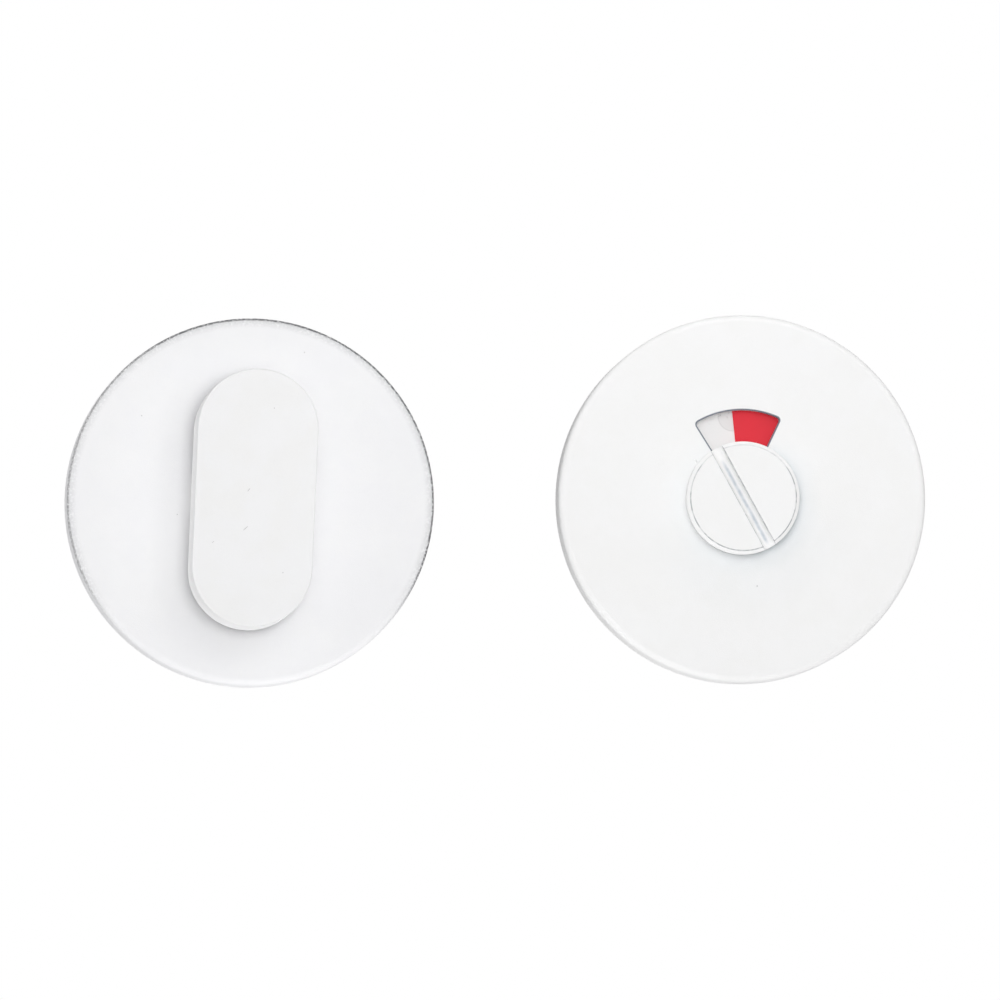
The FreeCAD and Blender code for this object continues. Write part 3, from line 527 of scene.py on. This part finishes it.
def dress_lock():
    """Give the CAD nodes their finishes, and add the threaded fixings and the drop of paint."""
    turn_lacquer = white_lacquer("turn_rose_lacquer", TURN_ROSE_SPECKS, TURN_AXIS, COOL_WHITES,
                                 (painted_shade_on_rose_edge,))
    dress("turn_rose_cover", turn_lacquer)
    dress("turn_knob", white_lacquer("knob_lacquer", KNOB_SPECKS, TURN_AXIS, WARM_WHITES))
    release_lacquer = white_lacquer("release_rose_lacquer", RELEASE_ROSE_SPECKS, RELEASE_AXIS, PURE_WHITES,
                                    (painted_shadow_by_the_coin_button, bare_edge_and_shade_in_window))
    dress("release_rose_cover", release_lacquer)
    coin_lacquer = white_lacquer("coin_button_lacquer", (), RELEASE_AXIS, PURE_WHITES,
                                 (painted_shade_in_slot_valley, thin_paint_and_shade_on_coin_edges))
    dress("release_button", coin_lacquer)
    dress("indicator_disc", indicator_white("indicator_white"))
    dress("indicator_red_segment", indicator_red("indicator_red"))
    nylon = grey_nylon("grey_nylon")
    for node in ("turn_base_plate", "release_base_plate"):
        dress(node, nylon)
    bush_nylon = natural_nylon("natural_nylon")
    for node in ("turn_bush", "release_slip_washer"):
        dress(node, bush_nylon)
    dress("turn_spindle", zinc_plate("drawn_zinc_plate", stretch=(1.0, 0.03, 1.0)))
    turned_zinc = zinc_plate("turned_zinc_plate", stretch=(0.4, 1.6, 0.4))
    for node in ("turn_screw_washers", "turn_stop_washer"):
        dress(node, turned_zinc)
    add_threaded_screws(turned_zinc)
    add_threaded_sleeves(turned_zinc)
    add_paint_drop(release_lacquer)
    dark_steel = spring_steel("spring_steel")
    for node in ("turn_spring_washer", "turn_circlip", "turn_spindle_pin", "release_spring_washer",
                 "release_circlip"):
        dress(node, dark_steel)


def select_only(piece):
    """Make a piece the only one selected."""
    bpy.ops.object.select_all(action="DESELECT")
    piece.select_set(True)
    bpy.context.view_layer.objects.active = piece


def close_up(piece):
    """Merge doubles, close holes and turn the faces outwards."""
    select_only(piece)
    bpy.ops.object.mode_set(mode="EDIT")
    bpy.ops.mesh.select_all(action="SELECT")
    bpy.ops.mesh.remove_doubles(threshold=DOUBLES)
    bpy.ops.mesh.fill_holes(sides=0)
    bpy.ops.mesh.normals_make_consistent(inside=False)
    bpy.ops.object.mode_set(mode="OBJECT")


def copy_of(node, name):
    """Copy a CAD node as one merged mesh."""
    piece = bpy.data.objects.new(name, cad_nodes[node].data.copy())
    bpy.context.scene.collection.objects.link(piece)
    close_up(piece)
    return piece


def cut(piece, tool):
    """Cut a tool's shape out of a piece, and drop the tool."""
    select_only(piece)
    cutting = piece.modifiers.new("cutting", "BOOLEAN")
    cutting.operation = "DIFFERENCE"
    cutting.solver = "MANIFOLD"
    cutting.object = tool
    bpy.ops.object.modifier_apply(modifier=cutting.name)
    bpy.data.objects.remove(tool)


def threaded_rod(centre, start, end, root):
    """A rod along Y with a right-hand thread, wound from the profile of one turn."""
    flank = THREAD_CREST - root
    # Steps of the profile: away from the axis, and along it as a share of the pitch.
    profile = ((0, 1 / 4), (flank, 5 / 16), (0, 1 / 8), (-flank, 5 / 16))
    bpy.ops.object.select_all(action="DESELECT")
    bpy.ops.mesh.primitive_plane_add(size=root, location=(centre.x, start, centre.z))
    rod = bpy.context.object
    bpy.ops.object.mode_set(mode="EDIT")
    bpy.ops.mesh.merge(type="CENTER")
    bpy.ops.transform.translate(value=(root, 0, 0))
    for away, share in profile:
        step = {"value": (away, share * THREAD_PITCH, 0)}
        bpy.ops.mesh.extrude_region_move(TRANSFORM_OT_translate=step)
    bpy.ops.object.mode_set(mode="OBJECT")
    winding = rod.modifiers.new("winding", "SCREW")
    winding.axis = "Y"
    winding.screw_offset = THREAD_PITCH
    winding.iterations = math.ceil((end - start) / THREAD_PITCH)
    winding.steps = winding.render_steps = THREAD_STEPS
    bpy.ops.object.modifier_apply(modifier=winding.name)
    bpy.ops.object.transform_apply(location=True, rotation=True, scale=True)
    close_up(rod)
    return rod


def fixing_centres(axis):
    """The two fixing centres of a half."""
    return [axis + Vector((side * FIXING_RADIUS, 0, 0)) for side in (-1, 1)]


def add_threaded_screws(paint):
    """The two fixing screws, with their thread cut by a die."""
    screws = copy_of("turn_fixing_screws", "threaded_fixing_screws")
    low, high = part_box("turn_fixing_screws")
    start = low[1] + HEAD_HEIGHT + THREAD_RUN_OUT
    end = high[1] + 2 * THREAD_RUN_OUT
    for centre in fixing_centres(TURN_AXIS):
        rod = threaded_rod(centre, start - THREAD_SPARE, end + THREAD_SPARE, SCREW_ROOT)
        bpy.ops.object.select_all(action="DESELECT")
        bpy.ops.mesh.primitive_cylinder_add(vertices=DIE_SIDES, radius=DIE_RADIUS, depth=end - start,
                                            location=(centre.x, (start + end) / 2, centre.z),
                                            rotation=(math.pi / 2, 0, 0))
        die = bpy.context.object
        bpy.ops.object.transform_apply(location=True, rotation=True, scale=True)
        cut(die, rod)
        cut(screws, die)
    finish_piece(screws, paint, "zinc_plated_steel", "turn_fixing_screws")


def add_threaded_sleeves(paint):
    """The two sleeve nuts, with their thread cut by a tap."""
    sleeves = copy_of("release_sleeve_nuts", "threaded_sleeve_nuts")
    low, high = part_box("release_sleeve_nuts")
    for centre in fixing_centres(RELEASE_AXIS):
        tap = threaded_rod(centre, low[1] - THREAD_SPARE, high[1] + THREAD_SPARE, SLEEVE_ROOT)
        cut(sleeves, tap)
    finish_piece(sleeves, paint, "zinc_plated_steel", "release_sleeve_nuts")


def add_paint_drop(paint):
    """The dried drop of paint, drawn out a little and sunk in the rose's face."""
    place = RELEASE_AXIS + DROP_PLACE
    bpy.ops.object.select_all(action="DESELECT")
    bpy.ops.mesh.primitive_uv_sphere_add(segments=DROP_SEGMENTS, ring_count=DROP_RINGS, radius=DROP_RADIUS,
                                         location=place)
    drop = bpy.context.object
    drop.name = "paint_drop"
    bpy.ops.object.transform_apply(location=True, rotation=True, scale=True)
    bpy.ops.object.mode_set(mode="EDIT")
    bpy.ops.mesh.select_all(action="SELECT")
    bpy.ops.transform.resize(value=DROP_SHAPE, center_override=place)
    bpy.ops.mesh.bisect(plane_co=place + Vector((0, DROP_SUNK, 0)), plane_no=(0, 1, 0),
                        use_fill=True, clear_outer=True, threshold=DROP_CUT_LIMIT)
    bpy.ops.object.mode_set(mode="OBJECT")
    finish_piece(drop, paint, "white_lacquer")


def finish_piece(piece, paint, slot, *replaced):
    """Smooth a piece, give it its finish and let it ride on the roses."""
    close_up(piece)
    bpy.ops.object.shade_smooth_by_angle(angle=SMOOTH_ANGLE)
    piece.data.materials.clear()
    piece.data.materials.append(paint.material)
    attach(piece, "roses")
    if replaced:
        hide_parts(*replaced)


def add_floor():
    """A plain pale floor, well below the lock, and whiter to the camera."""
    bpy.ops.object.select_all(action="DESELECT")
    bpy.ops.mesh.primitive_plane_add(size=FLOOR_SIZE, location=(0, 0, -FLOOR_DROP))
    floor = bpy.context.object
    floor.name = "floor"
    paint = Paint("pale_floor", Base_Color=FLOOR_GREY, Roughness=0.8)
    plain = Flow(paint, paint.shader.outputs[0])
    white = paint.add("ShaderNodeEmission", inputs={"Color": FLOOR_WHITE, "Strength": 1.0})
    seen = paint.add("ShaderNodeLightPath", output="Is Camera Ray")
    shown = paint.add("ShaderNodeMixShader", inputs={0: seen * FLOOR_WHITE_SHARE, 1: plain, 2: white})
    output = paint.tree.nodes["Material Output"]
    paint.tree.links.new(shown.socket, output.inputs["Surface"])
    floor.data.materials.append(paint.material)


def set_world():
    """A dim studio, lighter in front and at the left, and white to the camera, in gloss and in glass."""
    world = bpy.data.worlds.new("studio")
    world.use_nodes = True
    bpy.context.scene.world = world
    studio = Nodes(world.node_tree)
    way = studio.add("ShaderNodeTexCoord", output="Generated")
    rightward, backward = studio.parts(way, "XY")
    front = FRONT_LEVEL + LEFT_LEVEL * (-rightward).at_least(0.0)
    level = front + (BACK_LEVEL - front) * backward.fade(*FRONT_TO_BACK)
    rays = ("Is Camera Ray", "Is Glossy Ray", "Is Transmission Ray")
    camera, glossy, through = [studio.add("ShaderNodeLightPath", output=ray) for ray in rays]
    seen = camera.at_least(glossy).at_least(through)
    background = studio.tree.nodes["Background"]
    background.inputs["Color"].default_value = STUDIO_WHITE
    studio.tree.links.new((level + (1.0 - level) * seen).socket, background.inputs["Strength"])


def add_light(name, place_mm, aim_mm, size_mm, level):
    """A soft rectangular light, unseen by the camera; level is its own brightness."""
    data = bpy.data.lights.new(name, "AREA")
    data.shape = "RECTANGLE"
    data.size, data.size_y = (length * MM for length in size_mm)
    data.energy = level * math.pi * data.size * data.size_y
    light = bpy.data.objects.new(name, data)
    place, aim = Vector(place_mm) * MM, Vector(aim_mm) * MM
    turn = (place - aim).to_track_quat("Z", "Y")
    light.matrix_world = Matrix.Translation(place) @ turn.to_matrix().to_4x4()
    light.visible_camera = False
    light.visible_glossy = False
    bpy.context.scene.collection.objects.link(light)


def add_camera():
    """Look at both roses as the picture does."""
    data = bpy.data.cameras.new("picture_camera")
    data.sensor_width = SENSOR_WIDTH_MM
    data.lens = SENSOR_WIDTH_MM * CAMERA_DISTANCE / FRAME_WIDTH
    away = Vector((math.sin(CAMERA_AZIMUTH) * math.cos(CAMERA_ELEVATION),
                   -math.cos(CAMERA_AZIMUTH) * math.cos(CAMERA_ELEVATION),
                   math.sin(CAMERA_ELEVATION)))
    camera = bpy.data.objects.new("picture_camera", data)
    turn = away.to_track_quat("Z", "Y").to_matrix().to_4x4() @ Matrix.Rotation(CAMERA_ROLL, 4, "Z")
    camera.matrix_world = Matrix.Translation(CAMERA_AIM + CAMERA_DISTANCE * away) @ turn
    bpy.context.scene.collection.objects.link(camera)
    bpy.context.scene.camera = camera


dress_lock()
add_floor()
set_world()
for light in LIGHTS:
    add_light(*light)
add_camera()
bpy.context.scene.view_settings.view_transform = "Standard"
